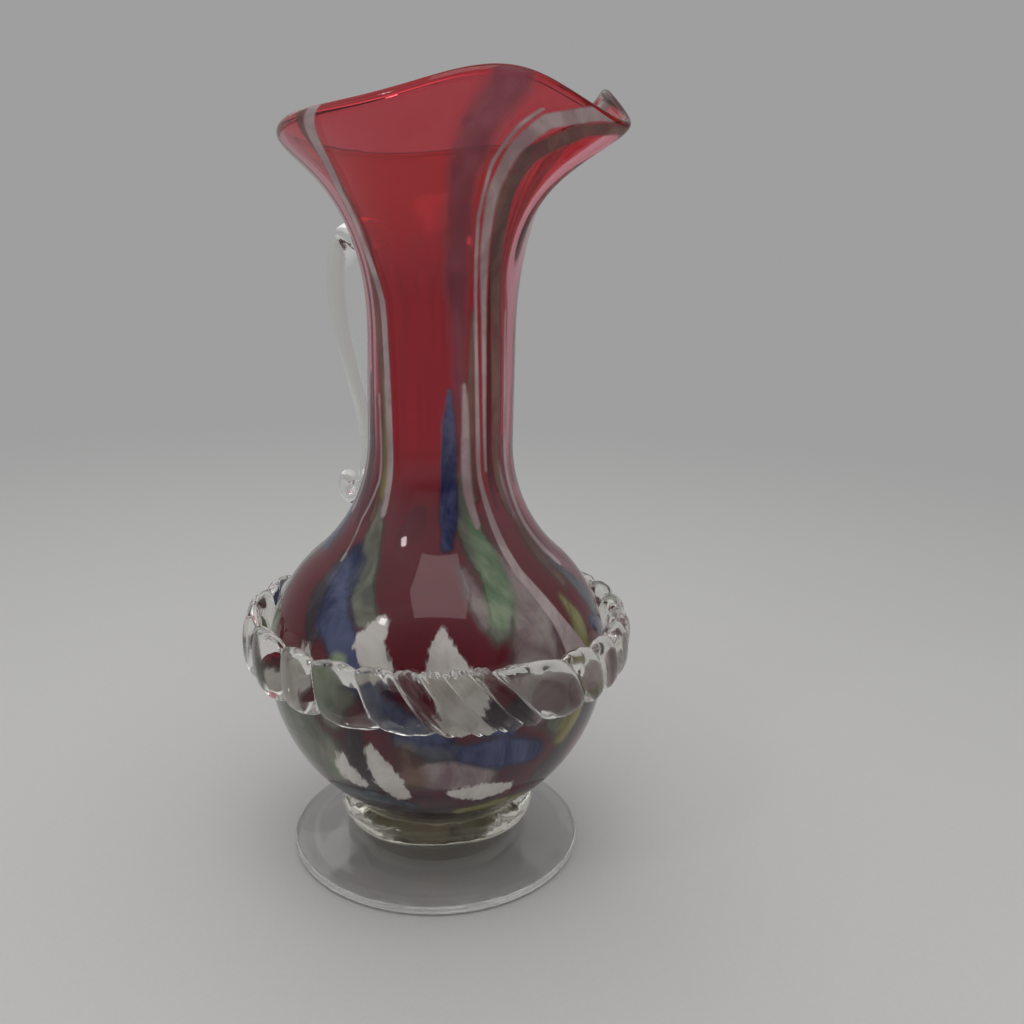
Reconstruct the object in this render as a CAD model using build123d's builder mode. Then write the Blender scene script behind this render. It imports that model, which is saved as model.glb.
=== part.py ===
from build123d import *
import os
from math import atan2, cos, degrees, exp, hypot, radians, sin, sqrt

# A hand blown art glass vase: a ruby bubble with a long neck and a flared, pinched pouring mouth,
# chips of coloured glass melted flush into its skin, a clear collar and disc foot under it, a clear
# twisted rope trailed round its belly, and a clear handle behind its neck.
# Millimetres. The origin is the centre of the foot's resting face, +Z is up, and the pouring lip
# points to +X with the handle opposite it.

# Driving sizes
WALL = 2.8  # thickness of the blown wall
CHIP_DEPTH = 0.6  # how deep the chips of coloured glass lie in the skin
FOOT_RADIUS = 51.3
COLLAR_RADIUS = 35.0
COLLAR_FOOT = 12.0  # height where the collar sits on the foot
SHOULDER_TOP = 180.0  # the neck is round up to here, and flares above
NECK_RADIUS = 24.1
MOUTH_RADIUS = 50.0
LIP_HEIGHT = 246.3  # mean height of the rim's centre line

# The bubble's outline is three tangent arcs and the neck's straight side
BELLY_HEIGHT = 72.0  # height of the widest point
BELLY_RADIUS = 58.4  # the belly's lower half is a half ball
SHOULDER_ARC = 47.0
THROAT_ARC = 52.0

# The rope round the belly
ROPE_HEIGHT = 79.5
ROPE_HALF_HEIGHT = 11.0
ROPE_RADIUS = 67.5
ROPE_LOBES = 24
ROPE_LEAN = 32.0  # degrees that the twist leans from upright
GROOVE_RADIUS = 5.5
GROOVE_DEPTH = 3.0

# The handle: a strap of stations from neck to shoulder, each as
# (distance from the axis, height, degrees below level that it heads, width, thickness)
HANDLE_STATIONS = (
    (32.0, 210.5, -25, 20.0, 10.0),
    (38.5, 211.5, 15, 17.0, 7.0),
    (43.0, 205.0, 65, 15.0, 5.5),
    (44.2, 193.0, 90, 13.5, 5.0),
    (42.0, 178.0, 104, 11.0, 4.8),
    (37.4, 163.0, 109, 8.5, 4.6),
    (33.6, 150.0, 102, 6.5, 4.6),
    (32.2, 138.5, 88, 6.5, 5.0),
    (33.6, 128.0, 70, 7.5, 6.0),
)
CURL_CENTRE = (37.0, 124.5)
CURL_RADIUS = 4.0
CURL_THICKNESS = 5.4

# Chips of coloured glass, each as (azimuth in degrees from the lip, height, half width,
# half height, lean in degrees)
WHITE_CHIPS = (
    (-73, 95.0, 6.0, 9.0, 8),
    (-51, 90.5, 7.0, 9.5, 0),
    (-83, 49.0, 3.0, 5.0, 12),
    (-66, 51.0, 4.0, 8.0, 12),
    (-36, 42.5, 8.5, 3.4, 4),
    (-93, 158.0, 1.9, 21.0, 0),
    (-33, 150.0, 1.4, 17.0, 0),
    (-15, 116.5, 1.6, 12.0, 24),
    (70, 92.0, 7.0, 10.0, -8),
    (118, 54.0, 5.0, 8.0, 10),
    (165, 94.0, 6.0, 11.0, 6),
    (-150, 52.0, 5.0, 9.0, -10),
)
BLUE_CHIPS = (
    (-46, 140.0, 2.4, 22.0, 0),
    (-87, 97.0, 5.0, 13.0, 4),
    (-30, 58.0, 10.0, 3.6, -4),
    (-66, 36.0, 11.0, 2.6, 0),
    (22, 101.0, 4.0, 7.0, 0),
    (95, 70.0, 8.0, 9.0, 0),
    (-170, 76.0, 8.0, 12.0, 8),
)
GREEN_CHIPS = (
    (-30, 113.0, 5.0, 11.0, 6),
    (-99, 55.0, 6.0, 8.0, 0),
    (-99, 119.0, 3.2, 10.0, 4),
    (-13, 60.0, 6.0, 6.0, 30),
    (48, 62.0, 7.0, 9.0, 0),
    (142, 108.0, 4.0, 9.0, 0),
    (-128, 78.0, 7.0, 12.0, 0),
)
YELLOW_CHIPS = (
    (4, 95.0, 3.4, 9.0, 6),
    (-29, 33.5, 8.0, 1.8, 0),
    (3, 70.0, 4.0, 7.0, 0),
    (120, 92.0, 4.0, 9.0, 0),
)
MAUVE_CHIPS = (
    (-21, 96.0, 5.0, 9.0, 0),
    (-49, 50.5, 6.0, 5.0, 0),
    (20, 150.0, 2.2, 22.0, 0),
    (-110, 150.0, 1.6, 22.0, 0),
    (170, 132.0, 3.0, 18.0, 0),
)
BROWN_CHIPS = (
    (-5, 154.0, 2.6, 22.0, 0),
    (-101, 155.0, 1.2, 20.0, 0),
    (90, 140.0, 2.0, 22.0, 0),
)

REACH = 90.0  # further out than any part of the vase


# The flared mouth, worked out from azimuth and from climb: 0 at the shoulder's top, 1 at the rim
def swell(azimuth, centre, width):
    away = (azimuth - centre + 180.0) % 360.0 - 180.0
    return exp(-((away / width) ** 2))


def rim_height(azimuth):
    lobes = 9.2 * (swell(azimuth, 33.0, 33.0) + swell(azimuth, -33.0, 33.0))
    pinch = 11.0 * swell(azimuth, 0.0, 14.0)
    back_dip = 7.0 * swell(azimuth, 180.0, 65.0)
    return LIP_HEIGHT + lobes - pinch - back_dip


def skin_radius(azimuth, climb):
    flare = climb**2.4 + 4.6 * climb**12 * (1.0 - climb)
    pour = 14.0 * swell(azimuth, 0.0, 15.0) * climb**6
    return NECK_RADIUS + (MOUTH_RADIUS - NECK_RADIUS) * flare + pour


def mouth_point(azimuth, climb, depth, lip_angle=0.0):
    """A point at a depth below the skin, or part of the way over the round lip."""
    rise = rim_height(azimuth) - SHOULDER_TOP
    step = 0.002
    slope = (skin_radius(azimuth, climb) - skin_radius(azimuth, max(climb - step, 0.0))) / step
    out_along, up_along = slope / hypot(slope, rise), rise / hypot(slope, rise)
    over = WALL / 2 * sin(radians(lip_angle))
    radius = skin_radius(azimuth, climb) - depth * up_along + over * out_along
    height = SHOULDER_TOP + rise * climb + depth * out_along + over * up_along
    turn = radians(azimuth)
    return (radius * cos(turn), radius * sin(turn), height)


def mouth_ring(climb, depth, lip_angle=0.0):
    if climb == 0:
        seat = Plane((0, 0, SHOULDER_TOP))
        return Wire([Edge.make_circle(NECK_RADIUS - depth, seat)])
    azimuths = [7.5 * step for step in range(48)]
    points = [mouth_point(azimuth, climb, depth, lip_angle) for azimuth in azimuths]
    return Wire([Edge.make_spline(points, periodic=True)])


# The solid bubble below the flare, whole or at any depth below its skin
shoulder_centre = (BELLY_RADIUS - SHOULDER_ARC, BELLY_HEIGHT)
throat_away = NECK_RADIUS + THROAT_ARC - shoulder_centre[0]
throat_rise = sqrt((SHOULDER_ARC + THROAT_ARC) ** 2 - throat_away**2)
throat_centre = (NECK_RADIUS + THROAT_ARC, BELLY_HEIGHT + throat_rise)
shoulder_turn = degrees(atan2(throat_rise, throat_away))


def bubble(depth):
    with BuildPart() as solid:
        with BuildSketch(Plane.XZ):
            with BuildLine():
                CenterArc((0, BELLY_HEIGHT), BELLY_RADIUS - depth, -90, 90)
                CenterArc(shoulder_centre, SHOULDER_ARC - depth, 0, shoulder_turn)
                CenterArc(throat_centre, THROAT_ARC + depth, 180 + shoulder_turn, -shoulder_turn)
                side = Line((NECK_RADIUS - depth, throat_centre[1]), (NECK_RADIUS - depth, SHOULDER_TOP))
                top = Line(side @ 1, (0, SHOULDER_TOP))
                Line(top @ 1, (0, BELLY_HEIGHT - BELLY_RADIUS + depth))
            make_face()
        revolve(axis=Axis.Z)
    return solid.part


whole_bubble = bubble(0)

# The flare: one skin that climbs outside, turns over the round lip and goes down inside
climbs = (0.0, 0.14, 0.27, 0.4, 0.52, 0.63, 0.73, 0.81, 0.88, 0.94)
outer_rings = [mouth_ring(climb, 0) for climb in climbs]
lip_rings = [mouth_ring(1.0, WALL / 2 * (1 - cos(radians(a))), a) for a in (0, 45, 90, 135, 180)]
inner_rings = [mouth_ring(climb, WALL) for climb in reversed(climbs)]
flare_skin = Shell.make_loft([*outer_rings, *lip_rings, *inner_rings], ruled=True)
flare_seat = Face(outer_rings[0], [inner_rings[-1]])
flare = Solid(Shell([*flare_skin.faces(), flare_seat]))


# Chips of coloured glass: leaf shapes cut through the skin from outside
with BuildPart() as chip_skin:
    add(whole_bubble)
    add(bubble(CHIP_DEPTH), mode=Mode.SUBTRACT)


def chips(places):
    with BuildPart() as group:
        for azimuth, height, half_width, half_height, lean in places:
            outward = Vector(cos(radians(azimuth)), sin(radians(azimuth)), 0)
            tangent = Vector(0, 0, 1).cross(outward)
            with BuildSketch(Plane(origin=(0, 0, height), x_dir=tangent, z_dir=outward)):
                Ellipse(half_width, half_height, rotation=-lean)
            extrude(amount=REACH)
        add(chip_skin.part, mode=Mode.INTERSECT)
    return group.part


chip_groups = {
    "white_chips": chips(WHITE_CHIPS),
    "blue_chips": chips(BLUE_CHIPS),
    "green_chips": chips(GREEN_CHIPS),
    "yellow_chips": chips(YELLOW_CHIPS),
    "mauve_chips": chips(MAUVE_CHIPS),
    "brown_chips": chips(BROWN_CHIPS),
}

# The ruby body: the bubble's wall with a seat for every chip, and the flare grown from its neck
with BuildPart() as ruby_body:
    add(whole_bubble)
    add(bubble(WALL), mode=Mode.SUBTRACT)
    add(chip_groups.values(), mode=Mode.SUBTRACT)
    add(flare)

# The disc foot: it stands on a flat ring, and is hollowed under like a shallow cone
with BuildPart() as disc_foot:
    with BuildSketch(Plane.XZ):
        with BuildLine():
            Polyline(
                (0, COLLAR_FOOT),
                (26, COLLAR_FOOT),
            )
            Spline(
                (26, COLLAR_FOOT),
                (34, 7.4),
                (FOOT_RADIUS - 1.4, 2.9),
                tangents=((1, -0.5), (1, -0.12)),
            )
            ThreePointArc(
                (FOOT_RADIUS - 1.4, 2.9),
                (FOOT_RADIUS, 1.5),
                (FOOT_RADIUS - 1.5, 0),
            )
            Polyline(
                (FOOT_RADIUS - 1.5, 0),
                (43, 0),
                (34, 2.4),
                (16, 6.6),
                (0, 6.6),
                (0, COLLAR_FOOT),
            )
        make_face()
    revolve(axis=Axis.Z)

# The collar: a gather pressed between the bubble and the foot
with BuildPart() as collar:
    with BuildSketch(Plane.XZ):
        with BuildLine():
            Line((0, COLLAR_FOOT), (26, COLLAR_FOOT))
            Line((26, COLLAR_FOOT), (31.5, 12.4))
            ThreePointArc((31.5, 12.4), (COLLAR_RADIUS, 16.0), (32.6, 19.8))
            Line((32.6, 19.8), (26.0, 21.0))
            Line((26.0, 21.0), (0, 21.0))
            Line((0, 21.0), (0, COLLAR_FOOT))
        make_face()
    revolve(axis=Axis.Z)
    add(whole_bubble, mode=Mode.SUBTRACT)

# The rope: a thick trail round the belly, twisted so that slanting grooves part its lobes
with BuildPart() as twisted_rope:
    with BuildSketch(Plane.XZ):
        with BuildLine():
            ThreePointArc(
                (52.0, ROPE_HEIGHT + ROPE_HALF_HEIGHT),
                (ROPE_RADIUS, ROPE_HEIGHT - 1.0),
                (52.0, ROPE_HEIGHT - ROPE_HALF_HEIGHT),
            )
            Line(
                (52.0, ROPE_HEIGHT - ROPE_HALF_HEIGHT),
                (52.0, ROPE_HEIGHT + ROPE_HALF_HEIGHT),
            )
        make_face()
    revolve(axis=Axis.Z)
    for lobe in range(ROPE_LOBES):
        turn = 360.0 / ROPE_LOBES * lobe
        groove = Cylinder(GROOVE_RADIUS, 3 * ROPE_HALF_HEIGHT, mode=Mode.PRIVATE)
        away = ROPE_RADIUS + GROOVE_RADIUS - GROOVE_DEPTH
        slanted = Location((away, 0, ROPE_HEIGHT), (ROPE_LEAN, 0, 0)) * groove
        add(slanted.rotate(Axis.Z, turn), mode=Mode.SUBTRACT)
    add(whole_bubble, mode=Mode.SUBTRACT)

# The handle: a strap lofted through its stations, fused to the flare and curled on the shoulder
with BuildPart() as handle:
    for away, height, below, width, thickness in HANDLE_STATIONS:
        heading = Vector(-cos(radians(below)), 0, -sin(radians(below)))
        with BuildSketch(Plane(origin=(-away, 0, height), x_dir=(0, 1, 0), z_dir=heading)):
            Ellipse(width / 2, thickness / 2)
    loft()
    with Locations((-CURL_CENTRE[0], 0, CURL_CENTRE[1])):
        Torus(CURL_RADIUS, CURL_THICKNESS / 2, rotation=(90, 0, 0))
    add(whole_bubble, mode=Mode.SUBTRACT)
    add(flare, mode=Mode.SUBTRACT)

# Every finished piece, by name
pieces = {
    "ruby_body": ruby_body.part,
    "disc_foot": disc_foot.part,
    "collar": collar.part,
    "twisted_rope": twisted_rope.part,
    "handle": handle.part,
    **chip_groups,
}

os.makedirs("parts", exist_ok=True)
for name, piece in pieces.items():
    piece.label = name
    export_step(piece, f"parts/{name}.step")
    print(name, len(piece.solids()), round(piece.volume / 1000, 2), "cm3", piece.is_valid)
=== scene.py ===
from math import atan2, cos, degrees, pi, radians, sin, sqrt

import bpy
import numpy as np
from mathutils import Matrix, Vector


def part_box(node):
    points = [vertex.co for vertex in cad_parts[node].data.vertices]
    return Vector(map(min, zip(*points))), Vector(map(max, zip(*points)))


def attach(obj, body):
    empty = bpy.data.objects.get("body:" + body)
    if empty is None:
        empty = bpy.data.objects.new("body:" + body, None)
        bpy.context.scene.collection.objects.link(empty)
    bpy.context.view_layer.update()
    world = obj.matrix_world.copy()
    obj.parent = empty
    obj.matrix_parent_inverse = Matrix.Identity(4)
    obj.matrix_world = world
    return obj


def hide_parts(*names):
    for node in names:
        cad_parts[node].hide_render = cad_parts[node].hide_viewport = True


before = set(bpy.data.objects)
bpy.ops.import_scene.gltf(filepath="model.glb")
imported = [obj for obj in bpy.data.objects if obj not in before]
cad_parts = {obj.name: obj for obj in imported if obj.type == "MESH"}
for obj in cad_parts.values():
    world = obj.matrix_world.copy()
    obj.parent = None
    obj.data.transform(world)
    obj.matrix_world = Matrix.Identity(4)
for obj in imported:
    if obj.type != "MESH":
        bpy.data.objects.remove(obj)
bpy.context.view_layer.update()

# A hand blown ruby glass vase. Lengths below are millimetres in the row's frame unless a name
# says otherwise: +Z up, the pouring lip at azimuth 0 (+X), the handle at azimuth 180.
MM = 0.001
scene = bpy.context.scene

# Sizes that the CAD and this script share
WALL = 2.8
NECK_RADIUS = 24.1
MOUTH_RADIUS = 50.0
SHOULDER_TOP = 180.0
LIP_HEIGHT = 246.3
BELLY_HEIGHT = 72.0
BELLY_RADIUS = 58.4
SHOULDER_ARC = 47.0
THROAT_ARC = 52.0
FOOT_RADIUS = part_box("disc_foot")[1].x / MM
COLLAR_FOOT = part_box("collar")[0].z / MM
COLLAR_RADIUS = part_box("collar")[1].x / MM
ROPE_HEIGHT = 79.5
ROPE_HALF_HEIGHT = 11.0
ROPE_RADIUS = 67.2
ROPE_CENTRE = 62.0

# Refraction of the glass, of the finer glass of the handle, and of seams where glass is fused
GLASS_IOR = 1.5
HANDLE_IOR = 1.4
SEAM_IOR = 1.0

shoulder_centre = (BELLY_RADIUS - SHOULDER_ARC, BELLY_HEIGHT)
throat_away = NECK_RADIUS + THROAT_ARC - shoulder_centre[0]
throat_rise = sqrt((SHOULDER_ARC + THROAT_ARC) ** 2 - throat_away**2)
throat_centre = (NECK_RADIUS + THROAT_ARC, BELLY_HEIGHT + throat_rise)
shoulder_turn = degrees(atan2(throat_rise, throat_away))


# ---------------------------------------------------------------- the camera

CAMERA_AZIMUTH = -52.0
CAMERA_AWAY = 338.0
CAMERA_HEIGHT = 211.2
CAMERA_DOWN = 14.84  # degrees below level
CAMERA_PAN = 4.15  # degrees that it looks to the right of the axis
CAMERA_ROLL = 1.607


def make_camera():
    turn = radians(90 + CAMERA_AZIMUTH)
    pan, down, roll = radians(CAMERA_PAN), radians(CAMERA_DOWN), radians(CAMERA_ROLL)
    ahead = Vector((sin(pan) * cos(down), cos(pan) * cos(down), -sin(down)))
    right = Vector((cos(pan), -sin(pan), 0))
    up = right.cross(ahead)
    across = cos(roll) * right + sin(roll) * up
    over = -sin(roll) * right + cos(roll) * up
    spin = Matrix.Rotation(turn, 3, "Z")
    columns = [spin @ across, spin @ over, spin @ -ahead]
    data = bpy.data.cameras.new("camera")
    data.lens, data.sensor_width, data.dof.use_dof = 36.07, 36.0, False
    camera = bpy.data.objects.new("camera", data)
    scene.collection.objects.link(camera)
    away = radians(CAMERA_AZIMUTH)
    place = Vector((CAMERA_AWAY * cos(away), CAMERA_AWAY * sin(away), CAMERA_HEIGHT)) * MM
    pose = Matrix([list(row) for row in zip(*columns)]).to_4x4()
    camera.matrix_world = Matrix.Translation(place) @ pose
    scene.camera = camera


make_camera()


# ---------------------------------------------------------------- node helpers


class Nodes:
    """Short ways to build one node tree."""

    def __init__(self, tree):
        self.tree = tree

    def add(self, kind, inputs=(), **settings):
        node = self.tree.nodes.new(kind)
        for name, value in settings.items():
            setattr(node, name, value)
        for name, value in dict(inputs).items():
            if isinstance(value, bpy.types.NodeSocket):
                self.tree.links.new(value, node.inputs[name])
            else:
                node.inputs[name].default_value = value
        return node

    def maths(self, operation, a, b=0.0, c=0.0):
        node = self.add("ShaderNodeMath", {0: a, 1: b, 2: c}, operation=operation)
        return node.outputs[0]

    def mix(self, factor, a, b):
        node = self.add("ShaderNodeMix", {0: factor, 6: a, 7: b}, data_type="RGBA")
        return node.outputs[2]

    def ramp(self, value, low, high, to_low=0.0, to_high=1.0):
        inputs = {0: value, 1: low, 2: high, 3: to_low, 4: to_high}
        node = self.add("ShaderNodeMapRange", inputs, interpolation_type="SMOOTHSTEP")
        return node.outputs[0]

    def noise(self, vector, scale, detail=3.0, rough=0.5, distortion=0.0):
        inputs = {
            "Vector": vector,
            "Scale": scale,
            "Detail": detail,
            "Roughness": rough,
            "Distortion": distortion,
        }
        return self.add("ShaderNodeTexNoise", inputs).outputs["Fac"]

    def stretched(self, scale):
        where = self.add("ShaderNodeTexCoord").outputs["Object"]
        return self.add("ShaderNodeMapping", {"Vector": where, "Scale": scale}).outputs[0]

    def field(self, name):
        return self.add("ShaderNodeAttribute", attribute_name=name).outputs["Fac"]


def new_material(name):
    material = bpy.data.materials.new(name)
    material.use_nodes = True
    nodes = Nodes(material.node_tree)
    shader = material.node_tree.nodes["Principled BSDF"]
    return material, nodes, shader


def colour(*values):
    return (*values, 1.0)


# ---------------------------------------------------------------- the surfaces of revolution


def arc(centre, radius, start, end, steps):
    angles = [radians(start + (end - start) * i / steps) for i in range(steps + 1)]
    return [(centre[0] + radius * cos(a), centre[1] + radius * sin(a)) for a in angles]


def bubble_line(depth):
    """The bubble's outline from its lowest point up to the shoulder's top."""
    line = arc((0, BELLY_HEIGHT), BELLY_RADIUS - depth, -90, 0, 70)
    line += arc(shoulder_centre, SHOULDER_ARC - depth, 0, shoulder_turn, 36)[1:]
    line += arc(throat_centre, THROAT_ARC + depth, 180 + shoulder_turn, 180, 40)[1:]
    rise = SHOULDER_TOP - throat_centre[1]
    line += [(NECK_RADIUS - depth, throat_centre[1] + rise * i / 24) for i in range(1, 25)]
    return line


def swell(azimuth, centre, width):
    away = (azimuth - centre + 180.0) % 360.0 - 180.0
    return np.exp(-((away / width) ** 2))


def rim_height(azimuth):
    lobes = 9.2 * (swell(azimuth, 33.0, 33.0) + swell(azimuth, -33.0, 33.0))
    pinch = 11.0 * swell(azimuth, 0.0, 14.0)
    back_dip = 7.0 * swell(azimuth, 180.0, 65.0)
    return LIP_HEIGHT + lobes - pinch - back_dip


def skin_radius(azimuth, climb):
    flare = climb**2.4 + 4.6 * climb**12 * (1.0 - climb)
    pour = 14.0 * swell(azimuth, 0.0, 15.0) * climb**6
    return NECK_RADIUS + (MOUTH_RADIUS - NECK_RADIUS) * flare + pour


def mouth_ring(azimuth, climb, depth, lip_angle=0.0):
    """Radius and height all round, at a depth below the skin or part of the way over the lip."""
    rise = rim_height(azimuth) - SHOULDER_TOP
    step = 0.002
    slope = (skin_radius(azimuth, climb) - skin_radius(azimuth, max(climb - step, 0.0))) / step
    size = np.hypot(slope, rise)
    out_along, up_along = slope / size, rise / size
    over = WALL / 2 * sin(radians(lip_angle))
    radius = skin_radius(azimuth, climb) - depth * up_along + over * out_along
    height = SHOULDER_TOP + rise * climb + depth * out_along + over * up_along
    return radius, height


AROUND = 384
azimuths = np.arange(AROUND) * 360.0 / AROUND
turns = np.radians(azimuths)


def skin_point(azimuth, height):
    """The point on the vase's outer skin at an azimuth and height."""
    if height <= BELLY_HEIGHT:
        radius = sqrt(max(BELLY_RADIUS**2 - (height - BELLY_HEIGHT) ** 2, 0.0))
    elif height <= shoulder_centre[1] + SHOULDER_ARC * sin(radians(shoulder_turn)):
        radius = shoulder_centre[0] + sqrt(SHOULDER_ARC**2 - (height - BELLY_HEIGHT) ** 2)
    elif height <= throat_centre[1]:
        radius = throat_centre[0] - sqrt(THROAT_ARC**2 - (height - throat_centre[1]) ** 2)
    elif height <= SHOULDER_TOP:
        radius = NECK_RADIUS
    else:
        climb = (height - SHOULDER_TOP) / (rim_height(azimuth) - SHOULDER_TOP)
        radius = skin_radius(azimuth, min(climb, 1.0))
    return (radius * cos(radians(azimuth)), radius * sin(radians(azimuth)), height)


def grid_mesh(name, rings, materials, slot_of=None, poles=(False, False), loop=False):
    """A mesh of rings, each an array of points all round; a pole closes its end to one point."""
    around = len(rings[0])
    points = np.concatenate(rings)
    count = len(rings)
    faces = []
    steps = count if loop else count - 1
    ring_of = []
    index = np.arange(around)
    after = (index + 1) % around
    for k in range(steps):
        low, high = k * around, ((k + 1) % count) * around
        block = np.stack([low + index, low + after, high + after, high + index], 1)
        faces.append(block)
        ring_of.append(np.full(around, k))
    faces = np.concatenate(faces)
    ring_of = np.concatenate(ring_of)
    polygons = faces.tolist()
    verts = (points * MM).tolist()
    for end, closed in enumerate(poles):
        if closed:
            ring = index if end == 0 else (count - 1) * around + index
            centre = points[ring].mean(0)
            verts.append((centre * MM).tolist())
            hub = len(verts) - 1
            for i in range(around):
                j = (i + 1) % around
                pair = (ring[j], ring[i]) if end == 0 else (ring[i], ring[j])
                polygons.append([int(pair[0]), int(pair[1]), hub])
            ring_of = np.concatenate([ring_of, np.full(around, 0 if end == 0 else steps - 1)])
    mesh = bpy.data.meshes.new(name)
    mesh.from_pydata(verts, [], polygons)
    mesh.validate()
    for material in materials:
        mesh.materials.append(material)
    if slot_of is not None:
        slots = slot_of(mesh, ring_of)
        mesh.polygons.foreach_set("material_index", slots.astype(np.int32))
    mesh.polygons.foreach_set("use_smooth", np.ones(len(mesh.polygons), bool))
    mesh.update()
    piece = bpy.data.objects.new(name, mesh)
    scene.collection.objects.link(piece)
    return piece


def ring_of_points(radius, height):
    radius = np.broadcast_to(radius, (AROUND,))
    height = np.broadcast_to(height, (AROUND,))
    return np.stack([radius * np.cos(turns), radius * np.sin(turns), height], 1)


# ---------------------------------------------------------------- colour in the ruby glass

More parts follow.
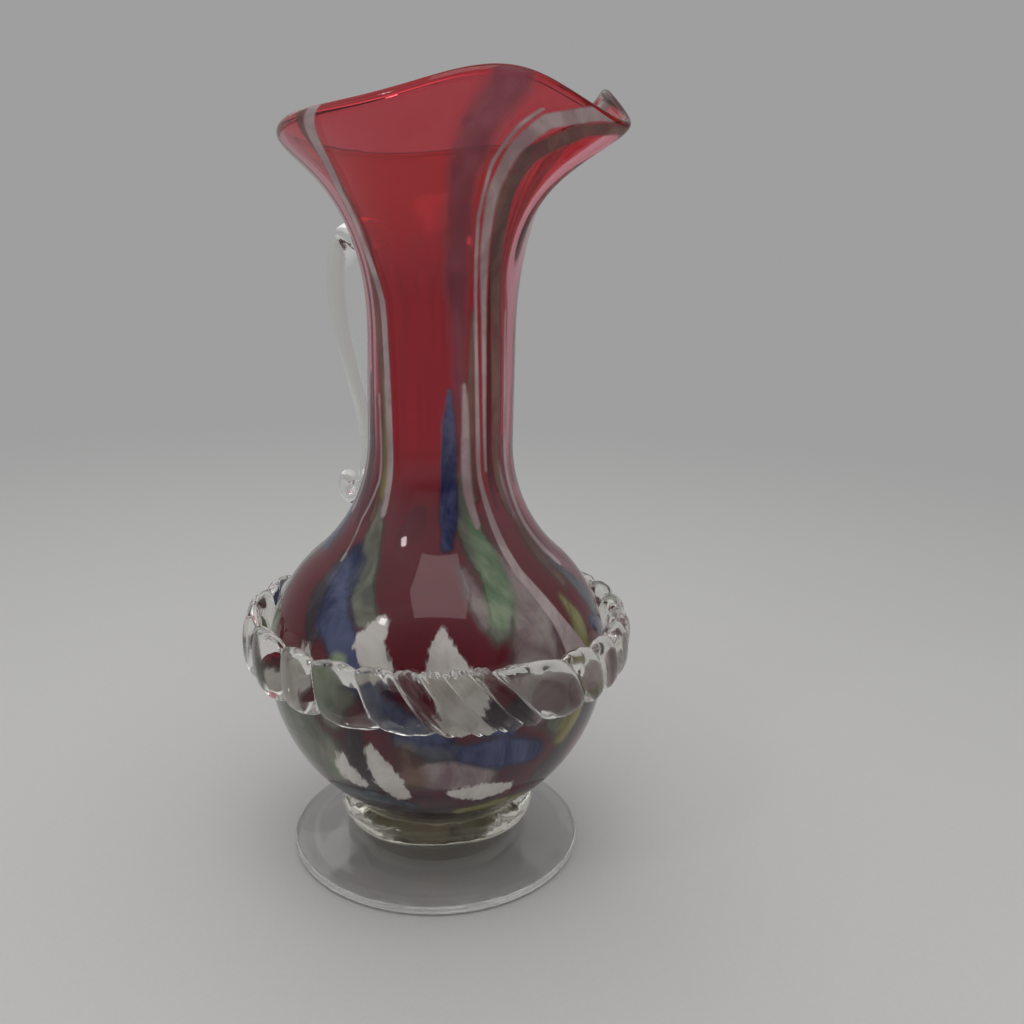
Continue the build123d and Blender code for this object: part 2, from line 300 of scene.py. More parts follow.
# Trails of colour in the skin. Each is (soft edge in mm, then points of azimuth, height and half
# width). They follow the gather: leaves on the belly, drawn out to threads up the neck and flare.
# One pale trail under the rope is painted light, not colour of the glass.
TRAILS = {
    "haze": (
        (1.8, (-23, 116, 2.0), (-18, 106, 5.5), (-18, 95, 8), (-20, 84, 9), (-18, 74, 8)),
        (1.2, (-60, 51, 4.6), (-48, 52, 7), (-38, 50, 5.0)),
        (1.2, (-40, 112, 1.6), (-37, 106, 3.2), (-35, 99, 2.4)),
        (1.0, (-4, 142, 1.2), (4, 128, 2.2), (14, 116, 2.6), (22, 106, 3)),
        (1.6, (100, 108, 7.2), (108, 92, 10.2), (112, 78, 8.7)),
        (2.0, (-162, 66, 10.2), (-174, 56, 10.2)),
        (1.6, (30, 84, 6), (36, 68, 7)),
    ),
    "sage": (
        (1.0, (-96, 132, 1.4), (-93, 120, 3.4), (-88, 109, 4.4), (-79, 100, 3.6)),
        (0.9, (-31, 165, 0.8), (-33, 150, 1.8), (-34, 134, 2.6), (-35, 124, 3.6), (-30, 114, 4)),
        (2.0, (-124, 66, 13), (-108, 59, 17.4), (-94, 52, 11.6)),
        (1.2, (-83, 90, 4), (-82, 80, 6), (-86, 70, 5)),
        (1.5, (-26, 104, 4), (-31, 97, 4)),
        (1.5, (48, 128, 3.6), (56, 112, 6.5), (66, 96, 5.8)),
        (2.0, (150, 64, 8.7), (138, 52, 8.7)),
        (1.2, (-150, 118, 4.3), (-146, 106, 7.2), (-140, 92, 7.2)),
        (2.0, (88, 46, 8.7), (70, 42, 7.2)),
        (1.6, (-12, 66, 5), (-2, 60, 4)),
    ),
    "dusk": (
        (1.6, (4, 70, 5), (3, 56, 8), (-8, 44, 7)),
        (0.9, (-78, 68, 2.6), (-78, 58, 3.0), (-76, 46, 3.4)),
        (1.4, (-84, 30, 3.4), (-54, 32, 4.4), (-30, 29, 3)),
        (1.0, (-106, 112, 2), (-105, 102, 3), (-98, 92, 3)),
        (1.2, (-40, 76, 3), (-28, 73, 4)),
        (2.0, (60, 60, 8.7), (80, 58, 7.2)),
        (2.0, (-140, 66, 8.7), (-126, 60, 7.2)),
        (2.0, (176, 62, 8.7), (150, 84, 5.8)),
    ),
    "slate": (
        (1.2, (-64, 65, 2.6), (-53, 62, 3.4), (-44, 61, 2.4)),
        (1.0, (-94, 37, 3), (-77, 39, 3.4), (-62, 37, 2.6)),
        (1.0, (15, 109, 2.2), (20, 102, 4.2), (23, 92, 4)),
        (0.8, (-94, 112, 2.2), (-92, 105, 3.2)),
        (1.4, (50, 40, 5.8), (72, 38, 7.2)),
        (1.0, (-124, 40, 7.2), (-140, 42, 5.8)),
        (1.2, (150, 44, 5.8), (178, 38, 5.8)),
    ),
    "mauve": (
        (
            2.0,
            (-31, 253, 5.4), (-38, 242, 5.0), (-43, 224, 3.6), (-42, 197, 2.6), (-37, 163, 1.5),
            (-36, 142, 0.8),
        ),
        (0.8, (2, 150, 0.8), (8, 130, 1.8), (17, 116, 2.4), (26, 104, 3)),
        (1.8, (-118, 160, 1.0), (-112, 140, 1.6), (-110, 124, 2.2)),
        (1.2, (64, 250, 4), (58, 226, 3), (44, 196, 2.2), (34, 160, 1.6), (30, 134, 2)),
        (1.6, (-178, 142, 1.2), (176, 124, 3)),
        (2.2, (10, 48, 6), (30, 44, 6)),
    ),
    "brown": (
        (
            0.5,
            (14, 242, 0.9), (-8, 241, 1.8), (-15, 234, 2.4), (-18, 224, 2.4), (-15, 209, 2.0),
            (-9, 189, 1.7), (-6, 160, 1.5), (-5, 137, 1.2), (0, 126, 1.0),
        ),
        (
            0.5,
            (-102, 248, 2.4), (-106, 234, 2.0), (-113, 221, 1.6), (-110, 200, 1.3),
            (-101, 163, 1.3), (-98, 136, 1.4), (-100, 124, 1.2),
        ),
        (0.6, (-29, 190, 0.6), (-30, 168, 1.1), (-29, 148, 1.2), (-27, 132, 1.5)),
        (
            0.7,
            (96, 248, 2.4), (90, 226, 2.0), (82, 196, 1.6), (78, 160, 1.5), (80, 134, 1.8),
            (84, 118, 1.4),
        ),
        (0.6, (-156, 240, 1.8), (-160, 216, 1.6), (-158, 186, 1.4), (-152, 150, 1.2)),
        (2.0, (-62, 60, 2.4), (-60, 50, 3.4)),
        (1.2, (6, 122, 1.8), (8, 112, 3), (9, 104, 2)),
    ),
    "blue": (
        (0.7, (-46, 166, 0.5), (-46, 158, 1.5), (-46, 146, 2.3), (-46, 128, 2.6), (-48, 119, 1.8)),
        (
            1.2,
            (-101, 115, 1.4), (-98, 108, 3.6), (-92, 98, 6.0), (-82, 89, 4.6), (-73, 80, 4.2),
            (-66, 72, 5.0), (-57, 68, 3.6), (-50, 66, 2.4),
        ),
        (1.2, (-42, 60, 3.4), (-31, 59, 6.0), (-20, 57, 3.8)),
        (1.0, (-37, 69, 2.2), (-30, 67, 2.4)),
        (0.8, (16, 90, 2.4), (22, 86, 3)),
        (1.0, (84, 80, 5.8), (95, 70, 10.2), (104, 60, 7.2)),
        (1.0, (-132, 168, 0.5), (-132, 150, 1.8), (-134, 126, 2.6), (-132, 112, 3)),
        (1.2, (-172, 88, 5.8), (-170, 76, 10.2), (-164, 66, 7.2)),
    ),
    "green": (
        (0.9, (-31, 126, 1.2), (-27, 117, 3.2), (-27, 108, 4.6), (-30, 100, 3.2)),
        (0.8, (-87, 51, 2.0), (-88, 47, 2.0)),
        (1.0, (-85, 86, 2.6), (-86, 76, 3.4)),
        (1.2, (46, 70, 7.2), (50, 58, 8.7)),
        (1.2, (142, 112, 4.3), (142, 102, 6.5), (146, 92, 4.3)),
        (1.2, (-132, 86, 7.2), (-128, 74, 8.7)),
    ),
    "yellow": (
        (
            0.9,
            (2, 101, 1.2), (5, 94, 3.0), (4, 86, 4.6), (-1, 76, 5.4), (-4, 66, 5.0),
            (-8, 58, 3.0),
        ),
        (0.9, (-42, 33, 2.4), (-28, 34, 3.6), (-14, 33, 3.0)),
        (0.6, (-98, 170, 0.5), (-97, 150, 1.0), (-95, 132, 1.4)),
        (1.0, (118, 100, 4.3), (121, 90, 5.8), (120, 82, 4.3)),
        (1.0, (-158, 100, 4.3), (-152, 90, 4.9)),
    ),
    "thread": (
        (
            0.35,
            (-93, 250, 2.2), (-101, 240, 1.9), (-113, 224, 1.6), (-112, 210, 1.4),
            (-100, 192, 1.3), (-95, 162, 1.3), (-92, 137, 1.2), (-91, 126, 1.0),
        ),
        (0.3, (-106, 163, 0.6), (-102, 136, 0.6), (-109, 123, 0.5), (-106, 111, 0.4)),
        (
            0.3,
            (-19, 246, 0.5), (-23, 242, 0.6), (-29, 232, 0.6), (-31, 217, 0.55),
            (-27, 189, 0.55), (-22, 138, 0.8), (-18, 127, 1.2), (-13, 110, 1.8), (-6, 96, 2.6),
            (-2, 87, 4.4), (2, 80, 5.0),
        ),
        (
            0.4,
            (8, 245, 1.2), (-8, 245, 2.0), (-16, 243, 2.3), (-21, 236, 2.0), (-25, 224, 1.7),
            (-24, 209, 1.4), (-20, 187, 0.9), (-18, 160, 0.6), (-16, 140, 0.5),
        ),
        (0.3, (2, 190, 0.4), (5, 166, 0.6), (8, 140, 0.9), (12, 122, 1.1), (19, 108, 1.3)),
        (0.4, (-35, 168, 0.5), (-34, 158, 1.0), (-33, 146, 1.3), (-32, 134, 1.4), (-28, 124, 1.0)),
        (
            0.4,
            (70, 252, 1.6), (76, 232, 1.4), (66, 200, 1.2), (56, 160, 1.0), (50, 130, 1.6),
            (44, 112, 2.4),
        ),
        (
            0.35,
            (-140, 244, 1.6), (-136, 222, 1.3), (-130, 190, 1.0), (-126, 150, 0.8),
            (-128, 124, 1.3),
        ),
        (0.35, (-172, 180, 0.5), (-168, 150, 0.9), (-160, 126, 1.4), (-150, 110, 1.6)),
        (0.3, (78, 180, 0.5), (72, 150, 0.8), (76, 126, 1.0)),
    ),
    "flake_and_painted_light": (
        (0.4, (-72, 99, 2.2), (-75, 93, 4.6), (-71, 87, 4.2)),
        # Painted light: this pale patch under the rope's lobes stands in for bright floor and room
        # seen through the rope
        (0.9, (-99, 86, 2.2), (-98, 79, 3.6), (-99, 73, 2.6)),
        (0.35, (-51, 98, 0.8), (-51, 92, 4.2), (-49, 85, 7.0), (-46, 77, 7.4), (-41, 71, 3.6)),
        (0.5, (-84, 56, 1.4), (-84, 50, 3.6), (-81, 46, 3.2)),
        (0.4, (-73, 62, 1.2), (-71, 55, 3.4), (-68, 48, 4.8), (-65, 43, 3.2)),
        (0.5, (-46, 44, 2.4), (-36, 43, 4.8), (-27, 43, 2.8)),
        (0.5, (-112, 76, 2), (-108, 72, 3)),
        (0.5, (-134, 54, 4.3), (-150, 52, 6.4)),
        (0.5, (68, 101, 2.9), (70, 92, 7.2), (72, 84, 7.2)),
        (0.5, (120, 62, 2.9), (118, 54, 6.7), (114, 47, 4.3)),
        (0.5, (164, 104, 2.9), (165, 94, 7.2), (167, 84, 6.4)),
        (0.5, (28, 54, 3.4), (36, 56, 2.4)),
        (0.5, (-178, 46, 4.3), (168, 44, 4.9)),
    ),
}


def trail_field(trail, points):
    """How far inside a trail each point lies, in soft edges: 0 on its outline."""
    soft, *stops = trail
    best = np.full(len(points), -1e9)
    for (a0, h0, w0), (a1, h1, w1) in zip(stops, stops[1:]):
        turn = (a1 - a0 + 180.0) % 360.0 - 180.0
        parts = 8
        line = [
            np.array(skin_point(a0 + turn * i / parts, h0 + (h1 - h0) * i / parts))
            for i in range(parts + 1)
        ]
        for i in range(parts):
            start, span = line[i], line[i + 1] - line[i]
            wide = max(w0, w1) + 12
            low, high = sorted((line[i][2], line[i + 1][2]))
            near = (points[:, 2] > low - wide) & (points[:, 2] < high + wide)
            away = points[near] - start
            along = np.clip(away @ span / max(span @ span, 1e-9), 0.0, 1.0)
            gap = np.linalg.norm(away - along[:, None] * span, axis=1)
            width = w0 + (w1 - w0) * (i + along) / parts
            best[near] = np.maximum(best[near], (width - gap) / soft)
    return best


def colour_fields(points):
    fields = {}
    for name, trails in TRAILS.items():
        value = np.full(len(points), -9.0)
        for trail in trails:
            value = np.maximum(value, trail_field(trail, points))
        fields[name] = np.clip(value, -9.0, 9.0)
    return fields


# Each colour as (trails, body colour, lighter colour in it, opacity, ragged edge)
COLOURS = (
    ("haze", (0.24, 0.15, 0.17), (0.44, 0.38, 0.36), 0.86, 0.9),
    ("sage", (0.13, 0.14, 0.11), (0.30, 0.31, 0.25), 0.82, 0.8),
    ("dusk", (0.035, 0.022, 0.032), (0.10, 0.075, 0.09), 0.86, 0.8),
    ("slate", (0.05, 0.06, 0.09), (0.16, 0.18, 0.20), 0.86, 0.8),
    ("mauve", (0.21, 0.055, 0.095), (0.36, 0.14, 0.19), 0.46, 0.6),
    ("brown", (0.15, 0.07, 0.065), (0.27, 0.17, 0.13), 0.74, 0.35),
    ("blue", (0.016, 0.022, 0.095), (0.12, 0.14, 0.27), 0.90, 0.9),
    ("green", (0.12, 0.20, 0.11), (0.36, 0.45, 0.30), 0.86, 0.8),
    ("yellow", (0.22, 0.20, 0.05), (0.40, 0.37, 0.17), 0.82, 0.7),
    ("thread", (0.40, 0.28, 0.29), (0.64, 0.54, 0.54), 0.88, 0.20),
    # White flakes in the glass; the same colour also paints light under the rope's lobes
    ("flake_and_painted_light", (0.60, 0.55, 0.52), (0.82, 0.78, 0.75), 0.97, 1.6),
)


def skin_material(name, ior):
    """The outer skin: thin rose glass with the trails of colour melted into it (one of them painted
    light), and painted light and shade in bands at its bottom.
    """
    material, nodes, shader = new_material(name)
    fibres = nodes.noise(nodes.stretched((1.0, 1.0, 0.14)), 700.0, 2.0, 0.5)
    drift = nodes.noise(nodes.stretched((1.0, 1.0, 0.45)), 90.0, 3.0, 0.55, 0.6)
    clouds = nodes.noise(nodes.stretched((1.0, 1.0, 0.6)), 55.0, 4.0, 0.6, 0.8)
    threads = nodes.noise(nodes.stretched((1.0, 1.0, 0.04)), 420.0, 2.0, 0.6)
    fibre_push = nodes.maths("MULTIPLY_ADD", fibres, 5.0, -2.5)
    drift_push = nodes.maths("MULTIPLY_ADD", drift, 4.0, -2.0)
    soft_push = nodes.maths("MULTIPLY_ADD", fibre_push, 0.25, drift_push)
    torn_push = nodes.maths("ADD", fibre_push, drift_push)
    height = nodes.add("ShaderNodeSeparateXYZ", {0: nodes.stretched((1, 1, 1))}).outputs[2]
    belly = nodes.ramp(height, 0.150, 0.105)
    streaky = nodes.mix(threads, colour(0.88, 0.30, 0.38), colour(1.0, 0.46, 0.54))
    deep = nodes.mix(clouds, colour(0.22, 0.014, 0.034), colour(0.36, 0.036, 0.066))
    tint = nodes.mix(belly, streaky, deep)
    low = nodes.ramp(height, 0.080, 0.055)
    smoky = nodes.maths("MULTIPLY", low, nodes.ramp(clouds, 0.30, 0.62))
    tint = nodes.mix(smoky, tint, colour(0.105, 0.068, 0.105))
    mottle = nodes.ramp(clouds, 0.34, 0.66)
    cover = nodes.maths("MULTIPLY", belly, 0.42)
    for field, dark, light, opacity, ragged in COLOURS:
        push = torn_push if field == "flake_and_painted_light" else soft_push
        edge = nodes.maths("MULTIPLY_ADD", push, ragged, nodes.field(field))
        stain = nodes.ramp(edge, -1.9, 0.6)
        inner = nodes.mix(mottle, colour(*dark), colour(*light))
        tint = nodes.mix(stain, tint, inner)
        veil = nodes.maths("MULTIPLY", nodes.ramp(edge, -1.4, 1.3), opacity)
        cover = nodes.maths("MAXIMUM", cover, veil)
    # Painted light and shade: cream and dark bands on the ball's bottom, seen through the clear
    # collar, stand in for its bright highlights and dark lines
    rings = nodes.noise(nodes.stretched((1.0, 1.0, 3.0)), 70.0, 3.0, 0.6, 1.2)
    light_and_shade_bands = nodes.ramp(rings, 0.36, 0.56)
    painted_collar_light_and_shade = nodes.mix(light_and_shade_bands, colour(0.10, 0.09, 0.05), colour(0.72, 0.66, 0.50))
    base = nodes.ramp(height, 0.0228, 0.0196)
    tint = nodes.mix(base, tint, painted_collar_light_and_shade)
    cover = nodes.maths("MAXIMUM", cover, nodes.maths("MULTIPLY", base, 0.9))
    clear = nodes.maths("SUBTRACT", 1.0, cover)
    nodes.tree.links.new(tint, shader.inputs["Base Color"])
    nodes.tree.links.new(clear, shader.inputs["Transmission Weight"])
    rough = nodes.ramp(clouds, 0.2, 0.8, 0.012, 0.05)
    nodes.tree.links.new(rough, shader.inputs["Roughness"])
    shader.inputs["IOR"].default_value = ior
    if ior > SEAM_IOR:
        waves = nodes.noise(nodes.stretched((1.0, 1.0, 0.35)), 38.0, 2.0, 0.4)
        lumps = nodes.maths("MULTIPLY_ADD", cover, 0.08, waves)
        bump = nodes.add("ShaderNodeBump", {"Height": lumps, "Strength": 0.25, "Distance": 0.0012})
        nodes.tree.links.new(bump.outputs[0], shader.inputs["Normal"])
    return material


def ruby_material():
    """The inner skin: the deep ruby itself, streaked where it was drawn."""
    material, nodes, shader = new_material("ruby_inside")
    threads = nodes.noise(nodes.stretched((1.0, 1.0, 0.03)), 300.0, 3.0, 0.6)
    clouds = nodes.noise(nodes.stretched((1.0, 1.0, 0.5)), 40.0, 3.0, 0.55, 0.5)
    height = nodes.add("ShaderNodeSeparateXYZ", {0: nodes.stretched((1, 1, 1))}).outputs[2]
    drawn = nodes.mix(threads, colour(0.34, 0.008, 0.03), colour(0.72, 0.014, 0.05))
    mouth = nodes.mix(threads, colour(0.58, 0.008, 0.014), colour(0.74, 0.016, 0.022))
    deep = nodes.mix(clouds, colour(0.14, 0.003, 0.010), colour(0.36, 0.008, 0.022))
    tint = nodes.mix(nodes.ramp(height, 0.196, 0.226), drawn, mouth)
    tint = nodes.mix(nodes.ramp(height, 0.140, 0.105), tint, deep)
    nodes.tree.links.new(tint, shader.inputs["Base Color"])
    shader.inputs["Transmission Weight"].default_value = 1.0
    shader.inputs["IOR"].default_value = GLASS_IOR
    rough = nodes.ramp(clouds, 0.2, 0.8, 0.0, 0.03)
    nodes.tree.links.new(rough, shader.inputs["Roughness"])
    waves = nodes.noise(nodes.stretched((1.0, 1.0, 0.3)), 45.0, 2.0, 0.4)
    bump = nodes.add("ShaderNodeBump", {"Height": waves, "Strength": 0.3, "Distance": 0.0012})
    nodes.tree.links.new(bump.outputs[0], shader.inputs["Normal"])
    return material


def clear_material(name, dark, light, ior, wave=30.0, strength=0.15):
    """Clear furnace glass with a faint tint and soft pull marks."""
    material, nodes, shader = new_material(name)
    clouds = nodes.noise(nodes.stretched((1.0, 1.0, 1.0)), wave, 3.0, 0.5)
    tint = nodes.mix(clouds, colour(*dark), colour(*light))
    nodes.tree.links.new(tint, shader.inputs["Base Color"])
    shader.inputs["Transmission Weight"].default_value = 1.0
    shader.inputs["IOR"].default_value = ior
    rough = nodes.ramp(clouds, 0.3, 0.8, 0.0, 0.02)
    nodes.tree.links.new(rough, shader.inputs["Roughness"])
    if ior > SEAM_IOR:
        pulls = nodes.noise(nodes.stretched((1.0, 1.0, 1.6)), wave * 1.7, 2.0, 0.45, 0.4)
        inputs = {"Height": pulls, "Strength": strength, "Distance": 0.001}
        bump = nodes.add("ShaderNodeBump", inputs)
        nodes.tree.links.new(bump.outputs[0], shader.inputs["Normal"])
    return material


# ---------------------------------------------------------------- the rope's shape


# The rope's grooves, each as (azimuth at mid height, how far its foot leans on, depth)
GROOVES = (
    (-168, 6, 3.2), (-152, 5, 3.4), (-137, 5, 3.6), (-120, 4, 3.8), (-101, 2, 4.0), (-88, 3, 3.8),
    (-72, 7, 3.2), (-59, 13, 2.6), (-51, 14, 1.8), (-44, 16, 2.2), (-36, 17, 2.8), (-29, 17, 3.0),
    (-9, 10, 3.4), (2, 7, 3.6), (13, 6, 4.0), (25, 5, 4.0), (38, 5, 3.8), (50, 6, 3.6),
    (64, 8, 3.4), (77, 9, 3.2), (90, 10, 3.2), (104, 8, 3.4), (118, 7, 3.4), (132, 8, 3.2),
    (147, 8, 3.2), (162, 7, 3.4), (177, 6, 3.4),
)


def rope_section(theta, psi):
    """Radius and height of the rope's lobed skin: theta all round, psi round its section."""
    deg = (np.degrees(theta) + 180.0) % 360.0 - 180.0
    table = np.array(GROOVES, float)
    many = np.concatenate([table[-1:] - [360, 0, 0], table, table[:1] + [360, 0, 0]])
    lean = np.interp(deg, many[:, 0], many[:, 1])
    line = (deg + lean / 2 * np.sin(psi) + 180.0) % 360.0 - 180.0
    place = np.interp(line, many[:, 0], np.arange(len(many)))
    depth = np.interp(line, many[:, 0], many[:, 2])
    t = place % 1.0
    bulge = np.sqrt(1.0 - 0.96 * (2 * t - 1) ** 2)
    strand = swell(deg, -46.0, 22.0)
    fine = 0.08 + 0.10 * strand
    ridges = fine * np.cos(2 * pi * 2.5 * t + 1.5 * np.sin(psi) + place) * bulge
    size = 0.5 + 0.3 * np.sin(4 * theta + 1.0) + 0.2 * np.sin(11 * theta)
    wide = ROPE_RADIUS - ROPE_CENTRE
    groove = depth * (1.0 - bulge)
    reach = np.minimum(wide - 0.5 * size - groove + ridges - 0.35, wide)
    tall = ROPE_HALF_HEIGHT - 0.3 - 0.9 * size - groove * 0.7 + ridges
    round_cos = np.sign(np.cos(psi)) * np.abs(np.cos(psi)) ** 0.9
    round_sin = np.sign(np.sin(psi)) * np.abs(np.sin(psi)) ** 0.9
    return ROPE_CENTRE + reach * round_cos, ROPE_HEIGHT + 0.1 + np.minimum(tall, 10.8) * round_sin


def ball_radius(height, depth):
    """The belly's outline near the rope, at a depth below the skin."""
    low = np.sqrt(np.maximum((BELLY_RADIUS - depth) ** 2 - (height - BELLY_HEIGHT) ** 2, 0.0))
    high = shoulder_centre[0] + np.sqrt(
        np.maximum((SHOULDER_ARC - depth) ** 2 - (height - BELLY_HEIGHT) ** 2, 0.0)
    )
    return np.where(height < BELLY_HEIGHT, low, high)


def make_rope():
    around, section = 1500, 72
    theta = np.arange(around) * 2 * pi / around
    rings = []
    inside = []
    for k in range(section):
        psi = 2 * pi * k / section
        radius, height = rope_section(theta, np.full(around, psi))
        inside.append(radius < ball_radius(height, 0.1))
        radius = np.maximum(radius, ball_radius(height, 1.3))
        rings.append(np.stack([radius * np.cos(theta), radius * np.sin(theta), height], 1))
    hidden = np.stack(inside)

    def slots(mesh, ring_of):
        here = np.tile(np.arange(around), section)
        low = hidden[ring_of, here]
        high = hidden[(ring_of + 1) % section, here]
        return (low & high).astype(int)

    glass = clear_material(
        "rope_glass", (0.93, 0.92, 0.88), (0.99, 0.98, 0.95), GLASS_IOR, 45.0, 0.2
    )
    seam = clear_material("rope_seam", (0.99, 0.99, 0.98), (1.0, 1.0, 1.0), SEAM_IOR)
    return grid_mesh("rope", rings, [glass, seam], slots, loop=True)


def under_rope(points):
    """Which points of the skin lie well inside the rope."""
    theta = np.arctan2(points[:, 1], points[:, 0])
    radius = np.hypot(points[:, 0], points[:, 1])
    height = points[:, 2]
    out = radius - ROPE_CENTRE
    rise = height - ROPE_HEIGHT
    psi = np.arctan2(rise / ROPE_HALF_HEIGHT, out / (ROPE_RADIUS - ROPE_CENTRE))
    edge_radius, edge_height = rope_section(theta, psi)
    reach = np.hypot(edge_radius - ROPE_CENTRE, edge_height - ROPE_HEIGHT)
    return np.hypot(out, rise) < reach


# ---------------------------------------------------------------- the body


def make_body():
    outer = [ring_of_points(radius, height) for radius, height in bubble_line(0)[1:]]
    climbs = [1 - (1 - i / 52) ** 1.25 for i in range(1, 52)]
    outer += [ring_of_points(*mouth_ring(azimuths, climb, 0)) for climb in climbs]
    lip = []
    for step in range(13):
        angle = 15.0 * step
        depth = WALL / 2 * (1 - cos(radians(angle)))
        lip.append(ring_of_points(*mouth_ring(azimuths, 1.0, depth, angle)))
    inner = [ring_of_points(*mouth_ring(azimuths, climb, WALL)) for climb in reversed(climbs)]
    inner += [ring_of_points(radius, height) for radius, height in reversed(bubble_line(WALL)[1:])]
    rings = outer + lip + inner
    first_inner = len(outer)

    def slots(mesh, ring_of):
        count = len(mesh.polygons)
        centres = np.zeros(count * 3)
        mesh.polygons.foreach_get("center", centres)
        centres = centres.reshape(-1, 3) / MM
        chosen = np.zeros(count, int)
        covered = under_rope(centres) & (np.abs(centres[:, 2] - ROPE_HEIGHT) < 12)
        chosen[covered] = 2
        chosen[ring_of >= first_inner] = 1
        return chosen

    skin = skin_material("ruby_skin", GLASS_IOR)
    seam = skin_material("ruby_seam", SEAM_IOR)
    body = grid_mesh(
        "ruby_body_glass", rings, [skin, ruby_material(), seam], slots, poles=(True, True)
    )
    count = len(body.data.vertices)
    points = np.zeros(count * 3, np.float32)
    body.data.vertices.foreach_get("co", points)
    points = points.reshape(-1, 3).astype(float) / MM
    first = (len(outer) + len(lip)) * AROUND
    fields = colour_fields(points[:first])
    for name, value in fields.items():
        whole = np.full(count, -9.0, np.float32)
        whole[:first] = value
        whole[count - 2] = value[:AROUND].mean()
        attribute = body.data.attributes.new(name, "FLOAT", "POINT")
        attribute.data.foreach_set("value", whole)
    return body


# ---------------------------------------------------------------- collar, foot and handle


def make_collar():
    low = COLLAR_FOOT + 0.12
    gap = BELLY_RADIUS + 0.15
    line = [(19.5, low), (23, low), (27, low), (30.6, low + 0.15)]
    line += arc((31.3, 15.95), COLLAR_RADIUS - 31.3, -78, 62, 22)
    line += [(31.2, 20.1), (29.6, 20.45), (28.2, 20.5)]
    backs = [27.6 - 8.4 * i / 12 for i in range(13)]
    line += [(radius, BELLY_HEIGHT - sqrt(gap**2 - radius**2)) for radius in backs]
    line += [(18.9, 16.0), (18.7, 14.4), (18.9, 12.8)]
    rings = []
    for radius, height in line:
        uneven = 0.45 * np.sin(3 * turns + 0.7) + 0.3 * np.sin(5 * turns + 2.1) - 0.75
        share = min(max((radius - 28.0) / 6.0, 0.0), 1.0)
        rings.append(ring_of_points(radius + uneven * share, height))
    glass = clear_material(
        "collar_glass", (0.90, 0.88, 0.76), (0.98, 0.97, 0.90), GLASS_IOR, 55.0, 0.6
    )
    return grid_mesh("collar_ring", rings, [glass], loop=True)


def hermite(a, b, slope_a, slope_b, steps):
    """Points of a smooth curve between two (radius, height) points with given slopes."""
    made = []
    span = b[0] - a[0]
    for i in range(1, steps + 1):
        t = i / steps
        height = (
            (2 * t**3 - 3 * t**2 + 1) * a[1]
            + (t**3 - 2 * t**2 + t) * span * slope_a
            + (3 * t**2 - 2 * t**3) * b[1]
            + (t**3 - t**2) * span * slope_b
        )
        made.append((a[0] + span * t, height))
    return made


def make_foot():
    edge = FOOT_RADIUS - 1.5
    line = [(0.4, 6.6), (8, 6.6)]
    line += [(16 + 27 * i / 20, 6.6 * (1 - (i / 20) ** 1.35)) for i in range(21)]
    line += [(46, 0.0), (edge - 0.2, 0.0)]
    line += arc((edge, 1.5), 1.5, -80, 75, 12)
    top = hermite((26.0, COLLAR_FOOT), (34.0, 7.4), -0.5, -0.42, 12)
    top += hermite((34.0, 7.4), (edge, 2.95), -0.42, -0.12, 24)
    line += list(reversed(top[:-1]))
    line += [(26.0, COLLAR_FOOT), (18.0, COLLAR_FOOT), (9.0, COLLAR_FOOT), (0.4, COLLAR_FOOT)]
    rings = [ring_of_points(radius, height) for radius, height in line]
    glass = clear_material(
        "foot_glass", (0.98, 0.975, 0.96), (1.0, 0.995, 0.985), GLASS_IOR, 22.0, 0.15
    )
    return grid_mesh("foot_disc", rings, [glass], poles=(True, True))


# The handle's path from the flare down to its curl, each as (distance from the axis, height,
# width, thickness), then the curl's centre and radius
HANDLE_PATH = (
    (30.5, 210.0, 20.0, 10.0),
    (34.0, 211.6, 19.0, 9.0),
    (38.5, 211.5, 17.0, 7.0),
    (43.0, 205.0, 15.0, 5.4),
    (44.2, 193.0, 13.3, 4.9),
    (42.0, 178.0, 10.9, 4.7),
    (37.4, 163.0, 8.4, 4.5),
    (33.6, 150.0, 6.4, 4.5),
    (32.2, 138.5, 6.3, 4.9),
    (32.5, 130.5, 6.8, 5.4),
)
CURL = (38.2, 125.0)
CURL_RADIUS = 4.9


def catmull(points, steps):
    """A smooth run through points of any number of values."""
    data = np.array(points, float)
    data = np.vstack([2 * data[0] - data[1], data, 2 * data[-1] - data[-2]])
    made = []
    for k in range(1, len(data) - 2):
        p0, p1, p2, p3 = data[k - 1 : k + 3]
        for i in range(steps):
            t = i / steps
            made.append(
                0.5
                * (
                    2 * p1
                    + (p2 - p0) * t
                    + (2 * p0 - 5 * p1 + 4 * p2 - p3) * t**2
                    + (3 * p1 - p0 - 3 * p2 + p3) * t**3
                )
            )
    made.append(data[-2])
    return np.array(made)


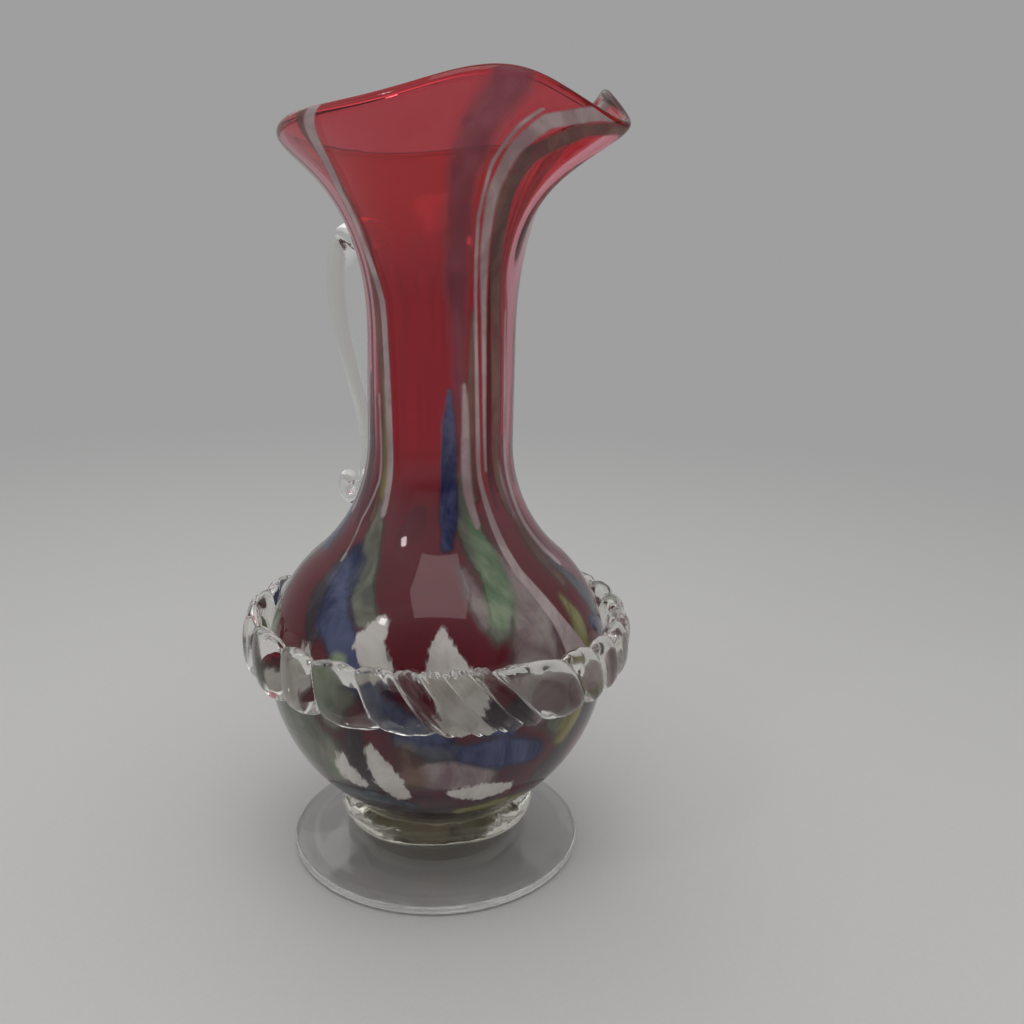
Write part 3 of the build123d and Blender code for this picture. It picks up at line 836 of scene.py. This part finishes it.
def make_handle():
    curl = []
    for i in range(1, 15):
        t = i / 14
        angle = radians(165 + 250 * t)
        reach = CURL_RADIUS - 0.9 * t
        place = (CURL[0] + reach * cos(angle), CURL[1] + reach * sin(angle))
        curl.append((*place, 9.4 - 1.4 * t, 5.8 - 0.6 * t))
    path = catmull([*HANDLE_PATH, *curl], 8)
    around = 40
    rings = []
    for k, (away, height, wide, thick) in enumerate(path):
        ahead = path[min(k + 1, len(path) - 1)][:2] - path[max(k - 1, 0)][:2]
        ahead = ahead / np.linalg.norm(ahead)
        side = np.array([-ahead[1], ahead[0]])
        ring = []
        end = (len(path) - 1 - k) / 6
        taper = sqrt(max(1 - (1 - min(end, 1.0)) ** 2, 0.02))
        for i in range(around):
            turn = 2 * pi * i / around
            across = wide / 2 * taper * cos(turn)
            bulge = thick / 2 * taper * np.sign(sin(turn)) * abs(sin(turn)) ** 0.9
            bulge *= 1 - 0.10 * cos(turn * 2) * (wide > 9)
            out = away + side[0] * bulge
            ring.append((-out, across, height + side[1] * bulge))
        rings.append(np.array(ring))

    def slots(mesh, ring_of):
        return (ring_of < 3).astype(int)

    glass = clear_material(
        "handle_glass", (0.95, 0.95, 0.90), (0.99, 0.985, 0.96), HANDLE_IOR, 60.0, 0.25
    )
    seam = clear_material("handle_seam", (0.99, 0.99, 0.98), (1.0, 1.0, 1.0), SEAM_IOR)
    return grid_mesh("handle_strap", rings, [glass, seam], slots, poles=(True, True))


body = make_body()
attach(body, "root")
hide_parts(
    "ruby_body",
    "white_chips",
    "blue_chips",
    "green_chips",
    "yellow_chips",
    "mauve_chips",
    "brown_chips",
)

for piece, node, place in (
    (make_rope(), "twisted_rope", "rope_glass"),
    (make_collar(), "collar", "collar_glass"),
    (make_foot(), "disc_foot", "foot_glass"),
    (make_handle(), "handle", "handle_glass"),
):
    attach(piece, "root")
    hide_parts(node)


# ---------------------------------------------------------------- stage and light

ROOM = 0.345  # the brightness of the room at eye level
FLOOR_LEVEL = -0.4  # just under the foot, so that the two faces don't coincide
LIGHT_AIM = Vector((0, 0, 110))


def make_floor():
    rings, around = [], 96
    for radius in (60, 120, 180, 260, 400, 700, 1400, 3000, 8000, 20000):
        turn = np.arange(around) * 2 * pi / around
        flat = np.full(around, FLOOR_LEVEL)
        rings.append(np.stack([radius * np.cos(turn), radius * np.sin(turn), flat], 1))
    material, nodes, shader = new_material("floor")
    where = nodes.stretched((1, 1, 1))
    away = nodes.add("ShaderNodeVectorMath", {0: where}, operation="LENGTH").outputs["Value"]
    grain = nodes.noise(where, 900.0, 3.0, 0.6)
    pale = nodes.mix(grain, colour(0.82, 0.82, 0.815), colour(0.88, 0.88, 0.875))
    nodes.tree.links.new(pale, shader.inputs["Base Color"])
    shader.inputs["Roughness"].default_value = 0.6
    shader.inputs["Specular IOR Level"].default_value = 0.2
    room = nodes.add("ShaderNodeEmission", {0: colour(ROOM, ROOM, ROOM), 1: 1.0})
    far = nodes.ramp(away, 0.12, 0.95)
    both = nodes.add("ShaderNodeMixShader", {0: far, 1: shader.outputs[0], 2: room.outputs[0]})
    nodes.tree.links.new(both.outputs[0], nodes.tree.nodes["Material Output"].inputs[0])
    floor = grid_mesh("floor", rings, [material], poles=(True, False))


def make_world():
    world = bpy.data.worlds.new("studio")
    scene.world = world
    world.use_nodes = True
    nodes = Nodes(world.node_tree)
    background = world.node_tree.nodes["Background"]
    way = nodes.add("ShaderNodeTexCoord").outputs["Generated"]
    up = nodes.add("ShaderNodeSeparateXYZ", {0: way}).outputs[2]
    facing = radians(CAMERA_AZIMUTH)
    inputs = {0: way, 1: (cos(facing), sin(facing), 0.0)}
    dot = nodes.add("ShaderNodeVectorMath", inputs, operation="DOT_PRODUCT")
    toward = dot.outputs["Value"]
    level = nodes.mix(nodes.ramp(up, 0.15, 0.9), colour(ROOM, ROOM, ROOM), colour(0.55, 0.55, 0.54))
    near = nodes.maths("MULTIPLY", nodes.ramp(toward, 0.2, 0.9), nodes.ramp(up, 0.02, 0.2))
    shade = nodes.mix(near, colour(1, 1, 1), colour(0.20, 0.18, 0.16))
    tone = nodes.add(
        "ShaderNodeMix", {0: 1.0, 6: level, 7: shade}, data_type="RGBA", blend_type="MULTIPLY"
    ).outputs[2]
    nodes.tree.links.new(tone, background.inputs["Color"])
    background.inputs["Strength"].default_value = 1.0


def area_light(name, azimuth, away, height, wide, tall, power):
    """A soft panel that faces the middle of the vase, unseen by the camera."""
    data = bpy.data.lights.new(name, "AREA")
    data.shape = "RECTANGLE"
    data.size, data.size_y = wide * MM, tall * MM
    data.energy = power
    light = bpy.data.objects.new(name, data)
    scene.collection.objects.link(light)
    turn = radians(azimuth)
    place = Vector((away * cos(turn), away * sin(turn), height)) * MM
    light.location = place
    light.rotation_mode = "QUATERNION"
    light.rotation_quaternion = (LIGHT_AIM * MM - place).to_track_quat("-Z", "Y")
    light.visible_camera = False


make_floor()
make_world()
area_light("top_panel", -52, 288, 815, 430, 400, 0.62)
area_light("front_panel", -52, 705, 718, 1500, 900, 0.48)
area_light("front_strip", -52, 705, 718, 900, 160, 0.27)
area_light("fill", 150, 900, 900, 700, 700, 0.62)
area_light("sparkle", -100, 600, 640, 70, 70, 0.16)

scene.view_settings.view_transform = "Standard"
scene.cycles.max_bounces = 32
scene.cycles.transmission_bounces = 28
scene.cycles.transparent_max_bounces = 16
scene.cycles.glossy_bounces = 24
scene.cycles.diffuse_bounces = 4
